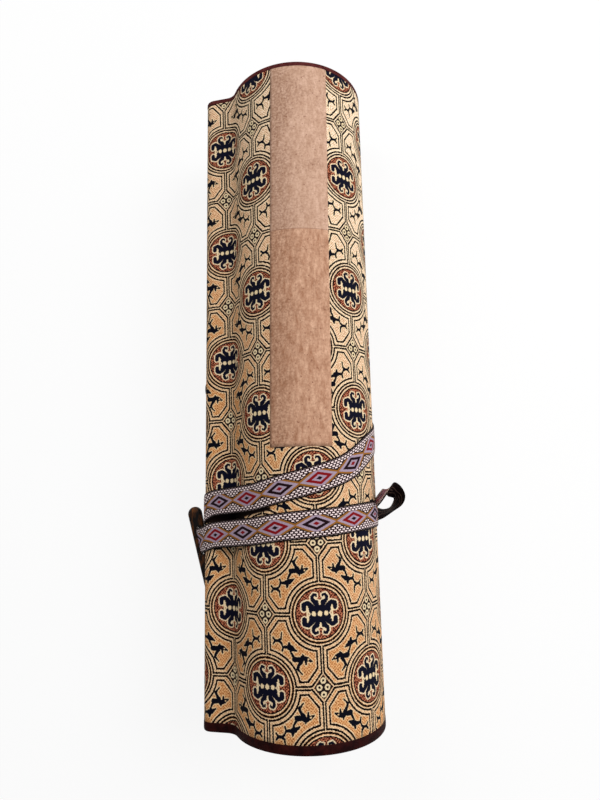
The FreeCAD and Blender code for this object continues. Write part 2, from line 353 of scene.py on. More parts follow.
# Tapered strokes of the figures: start (x, y, half width) and end (x, y, half width)
FIGURE_STROKES = (
    ((16.4, 5.8, 0.28), (15.6, 6.7, 0.35)),
    ((15.6, 6.7, 0.35), (14.5, 7.9, 0.65)),
    ((14.5, 7.9, 0.65), (15.0, 9.2, 0.6)),
    ((15.0, 9.2, 0.6), (16.2, 10.9, 0.9)),
    ((13.3, 11.8, 1.15), (16.4, 11.7, 1.0)),
    ((16.9, 12.3, 1.15), (18.9, 11.9, 0.85)),
    ((17.1, 13.0, 0.5), (17.0, 13.7, 0.3)),
    ((18.6, 12.3, 0.5), (20.7, 10.9, 0.35)),
    ((18.5, 11.4, 0.5), (20.5, 10.9, 0.35)),
    ((18.2, 11.3, 0.6), (18.3, 9.7, 0.35)),
    ((13.1, 12.4, 0.6), (11.7, 15.0, 0.4)),
    ((12.1, 16.3, 1.25), (10.9, 16.7, 1.0)),
    ((11.5, 16.8, 0.9), (11.2, 18.5, 0.5)),
    ((12.5, 16.2, 1.0), (14.4, 15.2, 0.35)),
    ((10.8, 16.7, 0.8), (8.4, 16.9, 0.5)),
    ((8.4, 16.8, 0.5), (7.9, 15.2, 0.4)),
    ((8.3, 16.9, 0.45), (7.5, 18.6, 0.38)),
    ((4.7, 19.4, 0.6), (6.4, 19.4, 0.65)),
    ((6.4, 19.4, 0.6), (7.4, 18.6, 0.5)),
    ((4.7, 19.3, 0.5), (3.7, 18.1, 0.4)),
    ((4.7, 19.5, 0.5), (3.7, 20.6, 0.4)),
    ((6.5, 19.6, 0.6), (7.5, 20.2, 0.45)),
    ((7.5, 20.1, 0.45), (7.9, 22.8, 0.28)),
)

# The medallion's navy ornament, in one quarter of it
ORNAMENT_STROKES = (
    ((0.0, 1.7, 1.85), (3.1, 1.7, 1.85)),
    ((0.9, 3.7, 1.25), (1.6, 4.6, 1.3)),
    ((1.9, 4.8, 1.1), (3.1, 5.8, 0.85)),
    ((3.1, 5.8, 0.85), (3.3, 7.1, 0.75)),
    ((3.3, 7.1, 0.75), (2.6, 8.1, 0.65)),
    ((2.6, 8.1, 0.65), (1.5, 8.0, 0.5)),
    ((1.5, 8.0, 0.5), (1.4, 7.4, 0.4)),
    ((3.7, 3.1, 1.3), (5.4, 4.4, 1.25)),
    ((5.4, 4.4, 1.25), (6.9, 3.9, 1.2)),
    ((6.9, 3.9, 1.2), (7.0, 2.3, 1.1)),
)
ORNAMENT_HOLES = (
    ((0.0, 0.0, 1.0), (0.0, 0.1, 1.0)),
    ((2.75, 0.0, 0.9), (2.75, 0.1, 0.9)),
    ((0.0, 4.0, 0.35), (0.0, 5.4, 0.5)),
    ((5.6, 0.0, 0.38), (5.6, 3.2, 0.3)),
)

# Painted shade on the cloth between the ribbon's two bands, on the flat sheet
PAINTED_SHADE_STROKES = (
    ((-60.0, -67.0, 2.9), (-30.0, -65.0, 1.8)),
    ((-30.0, -65.0, 1.8), (-9.0, -62.3, 0.7)),
)


def stroke(board, place, start, end):
    """Distance to a tapered stroke, less its half width."""
    way = Vector((end[0] - start[0], end[1] - start[1], 0.0))
    from_start = board.vector("SUBTRACT", place, (start[0], start[1], 0.0))
    share = board.dot(from_start, tuple(way / way.length_squared))
    share = board.math("ADD", share, 0.0, clamp=True)
    far = board.distance(from_start, board.scale(tuple(way), share))
    return board.fit(share, start[2] - end[2], far - start[2])


def strokes(board, place, listed):
    """The least distance to any of the strokes."""
    return board.smaller(*[stroke(board, place, start, end) for start, end in listed])


def lozenge(board, across, along, half_across, half_along):
    """Distance to a lozenge about the origin, from places that are not negative."""
    size = math.hypot(half_across, half_along)
    slanted = board.fit(along, half_across / size, -half_across * half_along / size)
    return board.fit(across, half_along / size, slanted)


# %% Brocade: cloth of gold ground with dark outlines
GOLD = ((0.31, paint(98, 46, 20)), (0.45, paint(190, 124, 70)), (0.66, paint(238, 190, 136)))
FADED_AND_LIT_GOLD = ((0.31, paint(132, 86, 54)), (0.45, paint(224, 188, 148)), (0.66, paint(252, 240, 222)))
# How the ground pales: towards the right it is painted light, the sheen where the key lamp falls, and towards
# the far end the cloth itself is paler
FADE_AND_PAINTED_LIGHT = (9.0, 4.0, 0.0)
FADE_AND_PAINTED_LIGHT_AT_ORIGIN = 0.3


def make_brocade():
    board = Board(bpy.data.materials.new("brocade"), specular=0.04)
    flat = board.scale(board.uv("sheet_uv"), 1 / MM)
    woven = board.wander(flat, (0.9, 0.9, 0.0), 1.6, 0.6)
    sine, cosine = math.sin(WEAVE_TURN), math.cos(WEAVE_TURN)
    across = board.dot(woven, (cosine, sine, 0.0))
    along = board.dot(woven, (-sine, cosine, 0.0))
    x = board.math("PINGPONG", across - CELL_START_ACROSS, CELL_WIDTH)
    y = board.math("PINGPONG", CELL_START_ALONG - along, CELL_HEIGHT)
    far_x = CELL_WIDTH - x
    far_y = CELL_HEIGHT - y
    place = board.joined(x, y)
    corner = board.joined(far_x, far_y)
    # Distance from the nearest medallion's middle, and from the lattice of bars, rings, lozenges
    from_here = board.vector("LENGTH", place, give=1)
    from_corner = board.vector("LENGTH", corner, give=1)
    radius = board.smaller(from_here, from_corner)
    lozenges = board.smaller(
        lozenge(board, far_x, y, LOZENGE_ACROSS, LOZENGE_ALONG),
        lozenge(board, x, far_y, LOZENGE_ACROSS, LOZENGE_ALONG))
    near_x = board.smaller(x, far_x)
    near_y = board.smaller(y, far_y)
    bars = board.smaller(near_x * BAR_NARROWING, near_y)
    skeleton = board.smaller(bars, radius - RING_RADIUS, lozenges)
    frame_line = board.smaller(bars, radius - RING_RADIUS, lozenges - 0.6)
    # The ground: gold silk with fine, broken threads both ways
    flecks = board.noise(flat, 1.5, 3.0, 0.7)
    waves = 2 * math.pi / WEAVE_PITCH
    threads = board.fit(flecks, 4.0, across * waves)
    twill = board.math("SINE", threads) * board.math("SINE", along * waves)
    woven_light = board.fit(twill, 0.08, flecks)
    # Painted light and fading: the paler ground towards the right is painted sheen, and towards the far end
    # it is the cloth's own paler tone
    fade_and_painted_light = board.math("ADD", board.dot(board.place(), FADE_AND_PAINTED_LIGHT), FADE_AND_PAINTED_LIGHT_AT_ORIGIN, clamp=True)
    gold = board.mix(board.ramp(woven_light, GOLD), board.ramp(woven_light, FADED_AND_LIT_GOLD), fade_and_painted_light)
    light = board.fit(twill, 0.12, 0.97)
    # Pale threads beside every outline
    beside = board.line(board.math("ABSOLUTE", frame_line - SECOND_LINE), 0.62, 0.26, 0.3)
    beside = board.larger(beside, board.line(skeleton, 1.25, 0.25, 0.3))
    pale = board.larger(board.line(skeleton, 0.1, 0.3, 0.3), beside) * board.fit(twill, 0.2, 0.55)
    colour = board.mix(board.scale(gold, light), paint(246, 224, 186), pale)
    # Medallion: mottled brick inside a pale ring
    mottle = board.fit(twill, 0.12, board.noise(flat, 1.2, 2.0, 0.6))
    brick = board.mix(paint(186, 114, 82), paint(68, 18, 13), board.below(mottle, 0.53, 0.08))
    colour = board.mix(colour, board.scale(brick, light), board.below(radius, BRICK_RADIUS, 0.3))
    colour = board.mix(colour, paint(238, 208, 168), board.line(radius, PALE_RADIUS, 0.3, 0.3) * 0.8)
    # Navy ornament with its pale outline
    near_corner = board.math("LESS_THAN", from_corner, from_here)
    sides = {0: near_corner, 4: place, 5: corner}
    inside = board.add("ShaderNodeMix", {"data_type": "VECTOR"}, sides, 1)
    ornament = strokes(board, inside, ORNAMENT_STROKES)
    colour = board.mix(colour, paint(234, 210, 172), board.below(ornament, 0.5, 0.22))
    colour = board.mix(colour, paint(12, 13, 30), board.below(ornament, 0.0, 0.22))
    holes = strokes(board, inside, ORNAMENT_HOLES)
    colour = board.mix(colour, paint(230, 206, 164), board.below(holes, 0.0, 0.25))
    # Lozenges: dark, with four small rings
    colour = board.mix(colour, paint(26, 15, 18), board.below(lozenges, -0.3, 0.25))
    petal_side = board.joined(near_x, near_y)
    petals = board.smaller(*[board.distance(petal_side, petal) for petal in PETALS])
    petal_ring = board.line(petals, PETAL_RADIUS, 0.36, 0.2) * board.below(lozenges, -0.45, 0.25)
    colour = board.mix(colour, paint(226, 204, 164), petal_ring)
    # Navy figures, each with a pale edge and an eye
    figures = strokes(board, place, FIGURE_STROKES)
    colour = board.mix(colour, paint(240, 216, 172), board.below(figures, 0.42, 0.25) * 0.6)
    figures = board.larger(figures, EYE_RADIUS - board.distance(place, EYE))
    colour = board.mix(colour, paint(8, 9, 20), board.below(figures, 0.06, 0.2))
    # Painted shade: the cloth between the two bands of the ribbon, where they cross the flap and the valley,
    # is darkened in colour
    painted_shade = strokes(board, flat, PAINTED_SHADE_STROKES)
    colour = board.mix(colour, paint(20, 10, 7), board.below(painted_shade, 0.2, 0.8))
    # Outlines, last, over everything
    outlines = board.line(radius, BRICK_RADIUS, 0.3, 0.16)
    for far, place_of_line in (
            (skeleton, FIRST_LINE), (frame_line, SECOND_LINE), (radius, OUTER_RADIUS)):
        drawn = board.line(far, place_of_line, OUTLINE_HALF, 0.1)
        outlines = board.larger(outlines, drawn)
    colour = board.mix(colour, paint(14, 4, 4), outlines)
    height = board.fit(twill, 0.5, flecks)
    return board.finish(colour, board.fit(flecks, 0.25, 0.6), height, 0.00012, 0.7)


brocade = make_brocade()
print("brocade nodes:", len(brocade.node_tree.nodes))

# %% [markdown]
# Silk, paper and wood are quieter. The silk strips have a fine rib across them, the slip is a
# mottled sheet with fibres along it, and the woods have streaks drawn out along the grain.

# %% Silk for the edge strips
RIB_PITCH = 0.5


def make_silk():
    board = Board(bpy.data.materials.new("binding_silk"), specular=0.06)
    place = board.place()
    rib = board.math("SINE", board.parts(board.uv("strip_uv")) * (2 * math.pi / (RIB_PITCH * MM)))
    wear = board.noise(place, 260.0, 3.0, 0.6)
    # The strip at the far end is paler and redder
    far_end = board.math("GREATER_THAN", board.parts(place).of("Y"), 0.0)
    dark = board.mix(paint(24, 3, 4), paint(60, 18, 18), far_end)
    light = board.mix(paint(50, 11, 9), paint(98, 44, 42), far_end)
    colour = board.mix(dark, light, board.fit(wear, 3.0, -1.1, clamp=True))
    return board.finish(colour, 0.7, board.fit(rib, 0.4, wear), 0.0001, 0.8)


binding_silk = make_silk()

# %% Aged paper for the slip
SLIP_JOIN = 72.5


def make_slip_paper():
    board = Board(bpy.data.materials.new("slip_paper"), specular=0.15)
    place = board.place()
    fibres = board.noise(board.vector("MULTIPLY", place, (1.0, 0.35, 1.0)), 420.0, 5.0, 0.75)
    fibres = board.fit(fibres, 2.4, -0.7, clamp=True)
    grain = board.noise(place, 900.0, 2.0, 0.6)
    clouds = board.noise(place, 60.0, 5.0, 0.7)
    specks = board.noise(place, 760.0, 2.0, 0.5)
    # The slip is two lengths of paper, the lower one browner
    from_join = board.parts(place).of("Y") - SLIP_JOIN * MM
    upper_colour = board.mix(paint(174, 136, 112), paint(212, 176, 154), fibres)
    lower_colour = board.mix(paint(152, 104, 76), paint(216, 174, 146), fibres)
    colour = board.mix(upper_colour, lower_colour, board.below(from_join, 0.0, 0.0004))
    mottled = board.fit(grain, 3.2, -1.35, clamp=True)
    colour = board.mix(colour, paint(132, 90, 64), mottled * 0.4)
    # Stains gather along the left edge and in a few clouds
    edge = board.fit(board.parts(board.uv("slip_uv")), -90.0, -1.5)
    stain = board.larger(
        board.fit(clouds, 5.0, -2.7, clamp=True), board.fit(clouds, 3.0, edge, clamp=True) * 0.7)
    stain = stain * board.fit(grain, 2.6, -0.7, clamp=True)
    colour = board.mix(colour, paint(122, 82, 58), stain * 0.75)
    colour = board.mix(colour, paint(112, 62, 42), board.below(specks, 0.3, 0.06) * 0.8)
    # Painted shadow: a thin darker line along the join, where the upper paper's edge would shade the lower
    # one
    painted_seam_shadow = board.line(from_join, 0.0, 0.00015, 0.0002)
    colour = board.mix(colour, paint(120, 86, 68), painted_seam_shadow * 0.6)
    height = board.fit(grain, 0.6, clouds)
    return board.finish(colour, board.fit(fibres, 0.2, 0.7), height, 0.0001, 0.6)


slip_paper = make_slip_paper()

# %% Woods


def make_wood(name, dark, light, stretch, scale, roughness, contrast=2.6, middle=0.45):
    """Streaks are noise drawn out along the grain: stretch is how much the place counts there."""
    board = Board(bpy.data.materials.new(name), specular=0.18)
    drawn = board.vector("MULTIPLY", board.place(), (1.0, stretch, 1.0))
    streaks = board.noise(drawn, scale, 4.0, 0.6)
    pores = board.noise(drawn, scale * 4.0, 2.0, 0.5)
    share = board.fit(streaks, contrast, middle - 0.5 * contrast, clamp=True)
    colour = board.mix(dark, light, share)
    colour = board.mix(colour, dark, board.below(pores, 0.38, 0.06) * 0.6)
    height = board.fit(pores, 0.5, streaks)
    return board.finish(colour, board.fit(streaks, 0.15, roughness), height, 0.0001, 0.5)


peg_wood = make_wood(
    "peg_wood", paint(10, 4, 3), paint(128, 72, 22), 0.3, 230.0, 0.45, contrast=5.0, middle=0.14)
stave_wood = make_wood("stave_wood", paint(104, 66, 36), paint(158, 110, 66), 0.05, 700.0, 0.6)
roller_wood = make_wood("roller_wood", paint(92, 56, 32), paint(150, 104, 64), 0.05, 600.0, 0.55)

# %% Paper of the turns


def make_scroll_paper():
    board = Board(bpy.data.materials.new("scroll_paper"), specular=0.2)
    place = board.place()
    clouds = board.noise(place, 70.0, 3.0, 0.6)
    fibres = board.noise(board.vector("MULTIPLY", place, (1.0, 0.3, 1.0)), 2600.0, 2.0, 0.5)
    colour = board.mix(paint(214, 186, 148), paint(238, 216, 182), clouds)
    colour = board.mix(colour, paint(176, 136, 96), board.fit(fibres, 1.6, -0.75, clamp=True))
    return board.finish(colour, 0.85, fibres, 0.00005, 0.6)


scroll_paper = make_scroll_paper()

# %% [markdown]
# The ribbon is woven too: a row of lozenges down the middle, chevrons between them, and borders
# of small pale dashes on black. Its front carries the pattern, and its back is nearly black.

# %% Woven ribbon
RIBBON_WIDTH = 12.8
LOZENGE_PITCH = 19.0
LOZENGE_START = 12.3
LOZENGE_HALF = (6.7, 3.0)
HEART_HALF = (1.6, 0.85)
BORDER_START = 3.5
SELVEDGE_START = 5.7
DASH_ROW = 0.97
DASH_PITCH = 2.1
WEFT_PITCH = 0.7


def make_woven_ribbon():
    board = Board(bpy.data.materials.new("woven_ribbon"), specular=0.08)
    flat = board.wander(board.scale(board.uv("ribbon_uv"), 1 / MM), (0.36, 0.3, 0.0), 1.5)
    parts = board.parts(flat)
    run = parts.of("X") - LOZENGE_START
    side = board.math("ABSOLUTE", parts.of("Y"))
    back = board.math("GREATER_THAN", side, RIBBON_WIDTH)
    across = board.math("PINGPONG", side, RIBBON_WIDTH)
    thread = board.noise(flat, 3.0, 2.0, 0.6)
    colour = board.mix(paint(104, 84, 104), paint(196, 176, 194), thread)
    # Middle row of lozenges with chevrons between them
    half_pitch = LOZENGE_PITCH / 2
    near = board.math("PINGPONG", run, half_pitch)
    second = board.math("GREATER_THAN", board.math("PINGPONG", run, LOZENGE_PITCH), half_pitch)
    shape = lozenge(board, near, across, *LOZENGE_HALF)
    red = paint(122, 12, 18)
    maroon = paint(26, 6, 12)
    outline = board.mix(maroon, red, second)
    colour = board.mix(colour, outline, board.line(shape, -0.62, 0.6, 0.15))
    heart = board.mix(red, maroon, second)
    heart_shape = lozenge(board, near, across, *HEART_HALF)
    colour = board.mix(colour, heart, board.below(heart_shape, 0.0, 0.2))
    # Borders of pale dashes on black in rows, each row shifted by half a dash
    row = board.fit(across, 1 / DASH_ROW, -BORDER_START / DASH_ROW)
    row_number = board.math("FLOOR", row)
    in_row = board.line(row - row_number, 0.5, 0.3, 0.08)
    shifted = board.math("PINGPONG", board.fit(row_number, DASH_PITCH / 2, run), DASH_PITCH / 2)
    dash = board.below(shifted, 0.3 * DASH_PITCH, 0.08)
    dark_thread = board.mix(paint(10, 4, 6), paint(52, 20, 30), thread)
    border = board.mix(dark_thread, paint(242, 222, 220), in_row * dash)
    outside = board.larger(shape - 2.1, across - BORDER_START)
    colour = board.mix(colour, border, board.below(-outside, 0.0, 0.12))
    chevrons = board.line(shape, 1.45, 0.42, 0.15) * board.below(across, BORDER_START, 0.15)
    colour = board.mix(colour, paint(142, 92, 34), chevrons)
    edge_line = board.line(shape, 2.05, 0.22, 0.15) * board.below(across, BORDER_START + 0.3, 0.15)
    colour = board.mix(colour, paint(16, 6, 6), edge_line)
    colour = board.mix(colour, paint(16, 6, 5), board.below(SELVEDGE_START - across, 0.0, 0.12))
    # The back, dark with faint lines of the pattern
    weft = board.math("SINE", run * (2 * math.pi / WEFT_PITCH))
    dark_share = board.fit(weft, 0.3, thread * 0.7, clamp=True)
    dark = board.mix(paint(14, 7, 8), paint(40, 22, 22), dark_share)
    faint = board.larger(board.line(shape, 0.0, 0.3, 0.2), board.line(shape, 2.2, 0.3, 0.2))
    dark = board.mix(dark, paint(136, 106, 92), faint * thread)
    colour = board.mix(colour, dark, back)
    return board.finish(colour, 0.75, board.fit(weft, 0.35, thread), 0.00012, 0.8)


woven_ribbon = make_woven_ribbon()

# %% [markdown]
# The cover is one sheet. It starts in the hem under the flap, goes round the stave at the nose,
# dips into the valley beside the roll, goes once round the roll, and its tail passes under the
# flap. Its section is a chain of arcs and straight runs, sampled as stations with an outward
# direction. A station's distance along the sheet also places the pattern.

# %% The cover's section
COVER_THICKNESS = 1.2
FLAP_HEIGHT = 18.2
NOSE_RADIUS = 5.0
VALLEY_RADIUS = 7.0
HEM_RADIUS = 2.2
HEM_GAP = 0.64
TAIL_CLOCK = -45.0
TURN_CLEARANCE = 0.15
HEM_CLEARANCE = 0.1
STEP = 1.6

under_flap = FLAP_HEIGHT - 2 * NOSE_RADIUS
nose_x = -(flap_reach - NOSE_RADIUS)
nose_z = FLAP_HEIGHT - NOSE_RADIUS
hem_x = -(HEM_GAP + math.sqrt(roll_radius ** 2 - under_flap ** 2))
valley_z = FLAP_HEIGHT + VALLEY_RADIUS
valley_x = -math.sqrt((roll_radius + VALLEY_RADIUS) ** 2 - valley_z ** 2)
valley_clock = math.degrees(math.atan2(valley_x, valley_z))
flat_half = math.sqrt(roll_radius ** 2 - axis_height ** 2)
flat_clock = math.degrees(math.atan2(flat_half, -axis_height))


def tail_arc():
    """The circle through the flat spot's left end and the sheet's end under the flap."""
    end_radius = roll_radius - COVER_THICKNESS - TURN_CLEARANCE
    first = Vector((-flat_half, -axis_height))
    last = Vector(on_circle(end_radius, TAIL_CLOCK))
    first_clock = 360 - flat_clock
    middle = Vector(on_circle((roll_radius + end_radius) / 2, (first_clock + 360 + TAIL_CLOCK) / 2))
    a, b = middle - first, last - first
    twice = 2 * (a.x * b.y - a.y * b.x)
    x = (b.y * a.length_squared - a.y * b.length_squared) / twice
    z = (a.x * b.length_squared - b.x * a.length_squared) / twice
    centre = first + Vector((x, z))
    start = math.degrees(math.atan2(first.x - centre.x, first.y - centre.y)) % 360
    end = math.degrees(math.atan2(last.x - centre.x, last.y - centre.y)) % 360
    return centre.x, centre.y, (first - centre).length, start, end


def arc_stations(radius, start, end, centre_x=0.0, centre_z=0.0, outward=1.0):
    count = max(4, math.ceil(abs(math.radians(end - start)) * radius / STEP))
    stations = []
    for step in range(count + 1):
        clock = start + (end - start) * step / count
        x, z = on_circle(radius, clock, centre_x, centre_z)
        across, up = on_circle(outward, clock)
        stations.append((x, z, across, up))
    return stations


def straight_stations(first, last, across, up):
    count = max(2, math.ceil(math.dist(first, last) / STEP))
    stations = []
    for step in range(count + 1):
        share = step / count
        x = first[0] + (last[0] - first[0]) * share
        z = first[1] + (last[1] - first[1]) * share
        stations.append((x, z, across, up))
    return stations


corner_x = hem_x - HEM_RADIUS
corner_z = under_flap + HEM_RADIUS
hem_top = FLAP_HEIGHT - COVER_THICKNESS - HEM_CLEARANCE
tail_x, tail_z, tail_radius, tail_start, tail_end = tail_arc()
section = straight_stations((hem_x, hem_top), (hem_x, corner_z), 1.0, 0.0)
section += arc_stations(HEM_RADIUS, 90, 180, corner_x, corner_z)[1:]
section += straight_stations((corner_x, under_flap), (nose_x, under_flap), 0.0, -1.0)[1:]
section += arc_stations(NOSE_RADIUS, 180, 360, nose_x, nose_z)[1:]
section += straight_stations((nose_x, FLAP_HEIGHT), (valley_x, FLAP_HEIGHT), 0.0, 1.0)[1:]
section += arc_stations(VALLEY_RADIUS, 180, valley_clock + 180, valley_x, valley_z, -1.0)[1:]
section += arc_stations(roll_radius, valley_clock, flat_clock)[1:]
section += straight_stations((flat_half, -axis_height), (-flat_half, -axis_height), 0.0, -1.0)[1:]
section += arc_stations(tail_radius, tail_start, tail_end, tail_x, tail_z)[1:]

# Distance along the outer face, counted from the top of the roll
along_sheet = [0.0]
for before, after in zip(section, section[1:]):
    along_sheet.append(along_sheet[-1] + math.dist(before[:2], after[:2]))
top_station = min(range(len(section)), key=lambda k: math.dist(section[k][:2], (0.0, roll_radius)))
top_clock = math.atan2(section[top_station][0], section[top_station][1])
shift = along_sheet[top_station] - roll_radius * top_clock
along_sheet = [length - shift for length in along_sheet]
sheet_length = along_sheet[-1] - along_sheet[0]
print("cover stations", len(section), "flat length mm", round(sheet_length, 1))

# %% Cover cloth
EDGE_INSET = 0.3
UNDER_STRIP = 0.5
CLOTH_ROWS = 106
INNER_ROWS = 9
# Where the ribbon crosses the floor: middle and half width, how deep it sits, how wide its edge is
RIBBON_AT_FLOOR = ((-10.0, 9.6), (-63.6, 8.2))
DENT = 0.78
DENT_EDGE = 1.5


def dent_depth(x, z, y):
    """The ribbon is pressed into the soft cover where the roll rests on it."""
    low_by = DENT - (z + axis_height)
    if low_by <= 0:
        return 0.0
    for middle, half in RIBBON_AT_FLOOR:
        off = abs(y - middle) - half
        if off < DENT_EDGE:
            return low_by * min(1.0, (DENT_EDGE - off) / DENT_EDGE)
    return 0.0


def cover_rows():
    """Places (y, depth) across the sheet: outer face up the roll, then the inner face back."""
    low = -half_length + EDGE_INSET
    high = half_length - EDGE_INSET
    low_step = -half_length + bottom_binding_width
    high_step = half_length - top_binding_width
    rows = [(low, UNDER_STRIP), (low_step - 0.3, 0.42), (low_step, 0.0)]
    for step in range(1, CLOTH_ROWS):
        rows.append((low_step + (high_step - low_step) * step / CLOTH_ROWS, 0.0))
    rows += [(high_step, 0.0), (high_step + 0.3, 0.42), (high, UNDER_STRIP)]
    outer = len(rows)
    for step in range(INNER_ROWS):
        rows.append((high + (low - high) * step / (INNER_ROWS - 1), COVER_THICKNESS))
    return rows, outer


def make_cover_cloth():
    rows, outer = cover_rows()
    rings = []
    for x, z, across, up in section:
        ring = []
        for k, (y, depth) in enumerate(rows):
            if k < outer:
                depth += dent_depth(x, z, y)
            ring.append(in_scene(x - depth * across, y, z - depth * up))
        rings.append(ring)
    first, last = along_sheet[0], along_sheet[-1]

    def pattern_place(step, k):
        y = rows[k % len(rows)][0]
        return along_sheet[step] * MM, y * MM

    def bake_place(step, k):
        """The outer face fills the left of the baked picture, the inner face its right."""
        share = (along_sheet[step] - first) / (last - first)
        y = rows[k % len(rows)][0] if k < len(rows) else rows[0][0]
        up = (y + half_length) / (2 * half_length)
        if k < outer:
            return 0.005 + 0.90 * share, 0.005 + 0.99 * up
        return 0.915 + 0.08 * share, 0.005 + 0.99 * up

    return loft("cover_cloth", rings, {"sheet_uv": pattern_place, "OFBake": bake_place}, brocade)


cover_cloth = make_cover_cloth()
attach(cover_cloth, "root")
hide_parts("cover")
cover_flat = (sheet_length * MM, 2 * (half_length - EDGE_INSET) * MM)

# %% [markdown]
# Each end of the cover is bound with a narrow silk strip that wraps over the cut edge. It is one
# rounded profile carried along the same section, so it follows the flap, the valley and the roll.

# %% Edge bindings


def make_binding(name, width, end_sign):
    edge = half_length
    inner = edge - width
    profile = [
        (inner, 0.45), (inner - 0.02, 0.1), (inner + 0.05, -0.06), (inner + 0.25, -0.13),
        ((inner + edge) / 2, -0.15), (edge - 0.75, -0.14), (edge - 0.35, -0.05), (edge - 0.08, 0.18),
        (edge, 0.55), (edge - 0.02, 0.9), (edge - 0.12, 1.15), (edge - 0.34, 1.18), (edge - 0.38, 0.6),
    ]
    rings = []
    for x, z, across, up in section:
        ring = []
        for y, depth in profile:
            lift = max(depth, -(z + axis_height)) if up < -0.9 else depth
            ring.append(in_scene(x - lift * across, end_sign * y, z - lift * up))
        rings.append(ring)
    lengths = [0.0]
    for before, after in zip(profile, profile[1:] + profile[:1]):
        lengths.append(lengths[-1] + math.dist(before, after))
    place = {"strip_uv": lambda step, k: (along_sheet[step] * MM, lengths[k] * MM)}
    strip = loft(name, rings, place, binding_silk)
    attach(strip, "root")
    return strip


top_strip = make_binding("top_edge_strip", top_binding_width, 1)
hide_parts("top_binding")
bottom_strip = make_binding("bottom_edge_strip", bottom_binding_width, -1)
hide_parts("bottom_binding")

# %% [markdown]
# The title slip is a strip of bare, aged paper pasted on the cover a little out of square. It is
# so thin that its edge is a mere line, but that line catches light, so it keeps its thickness.

# %% Title slip
SLIP_WIDTH = 29.6
SLIP_LENGTH = 196.8
SLIP_THICKNESS = 0.3
SLIP_GAP = 0.03
SLIP_CENTRE_CLOCK = 15.4
SLIP_TILT = math.radians(0.85)
SLIP_LONG_STEPS = 90
SLIP_WIDE_STEPS = 24


def make_slip():
    top = half_length - top_binding_width - 0.05
    across = [-SLIP_WIDTH / 2 + SLIP_WIDTH * k / SLIP_WIDE_STEPS for k in range(SLIP_WIDE_STEPS + 1)]
    outline = [(a, SLIP_THICKNESS - 0.05) for a in across] + [(a, SLIP_GAP) for a in across[::-1]]
    rings = []
    ring_places = []
    for step in range(SLIP_LONG_STEPS + 1):
        down = SLIP_LENGTH * step / SLIP_LONG_STEPS
        frayed = 0.08 * math.sin(step * 2.1) + 0.05 * math.sin(step * 5.3)
        ring = []
        places = []
        for number, (aside, height) in enumerate(outline):
            if number in (0, SLIP_WIDE_STEPS):
                height -= 0.08
            if aside == across[0]:
                aside += frayed
            arc = aside - down * math.tan(SLIP_TILT)
            clock = SLIP_CENTRE_CLOCK + math.degrees(arc / roll_radius)
            x, z = on_circle(roll_radius + height, clock)
            ring.append(in_scene(x, top - down, z))
            places.append((aside * MM, -down * MM))
        rings.append(ring)
        ring_places.append(places)
    size = len(rings[0])
    place = {"slip_uv": lambda step, k: ring_places[step][k % size]}
    return loft("slip", rings, place, slip_paper)


slip = make_slip()
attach(slip, "root")
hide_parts("title_slip")

# %% [markdown]
# The ribbon goes twice round the roll and over the flap's nose, then down to the peg. A strip of
# cloth bends but hardly stretches, so its middle line is drawn on the unrolled path and its width
# is set square to that line before both are wrapped back on the roll.

# %% The taut path round the roll and nose
RIBBON_THICKNESS = 0.7
STAND_OFF = 0.1 + RIBBON_THICKNESS / 2
slip_end = half_length - top_binding_width - SLIP_LENGTH
path_roll = roll_radius + STAND_OFF
path_nose = NOSE_RADIUS + STAND_OFF
nose_lean = math.degrees(math.atan2(nose_x, nose_z))
nose_spread = math.degrees(math.acos((path_roll - path_nose) / math.hypot(nose_x, nose_z)))
leave_turn = (270 - (nose_lean + nose_spread)) % 360
meet_turn = (270 - (nose_lean - nose_spread)) % 360
print("ribbon leaves the roll at", round(leave_turn, 1), "and meets it again at", round(meet_turn, 1))

# How far the ribbon's middle lies below the slip's end, at turn angles in degrees that start at
# the roll's left side and run over its top
FIRST_PASS = (
    (0, -40.4), (90, -24.4), (187, -3.4), (203, 1.4), (217, 7.5),
    (231, 11.7), (267, 17.9), (314, 23.6), (360, 26.6),
)
SECOND_PASS = (
    (0, 26.6), (90, 29.2), (140, 30.6), (200, 32.1),
    (232, 33.9), (268, 35.7), (314, 38.6), (352, 43.2),
)
START_TURN = 12.0
END_TURN = 322.0
SPARE_TURN = 14.0
SAMPLE_TURN = 2.5
# The fall over the flap: how far it goes, and the turn angles of its start, counted back from
# where the ribbon leaves the roll, of its greatest reach and of its end
FLAP_SAG = 3.4
SAG_STARTS_BEFORE = 25.0
SAG_GREATEST = 318.0
SAG_ENDS = 440.0


def radius_at(turn):
    """How far the ribbon's middle is from the circle's centre there, and that centre."""
    clock = (270 - turn) % 360
    clock = clock - 360 if clock > 180 else clock
    if clock >= nose_lean + nose_spread or clock <= nose_lean - nose_spread:
        return path_roll, 0.0, 0.0, clock
    return path_nose, nose_x, nose_z, clock


def taut_samples(start, end, step):
    """Places along the path: arc length, turn angle, point (x, z) and outward (x, z)."""
    marks = {start, end}
    count = int((end - start) // step)
    marks.update(start + step * k for k in range(1, count + 1))
    for tangent in (leave_turn, meet_turn):
        for whole in (-360, 0, 360, 720):
            for side in (-0.01, 0.01):
                if start < tangent + whole + side < end:
                    marks.add(tangent + whole + side)
    samples = []
    length = 0.0
    for mark in sorted(marks):
        radius, x, z, clock = radius_at(mark)
        point = on_circle(radius, clock, x, z)
        if samples:
            length += math.dist(point, samples[-1][2])
        samples.append((length, mark, point, on_circle(1.0, clock)))
    return samples


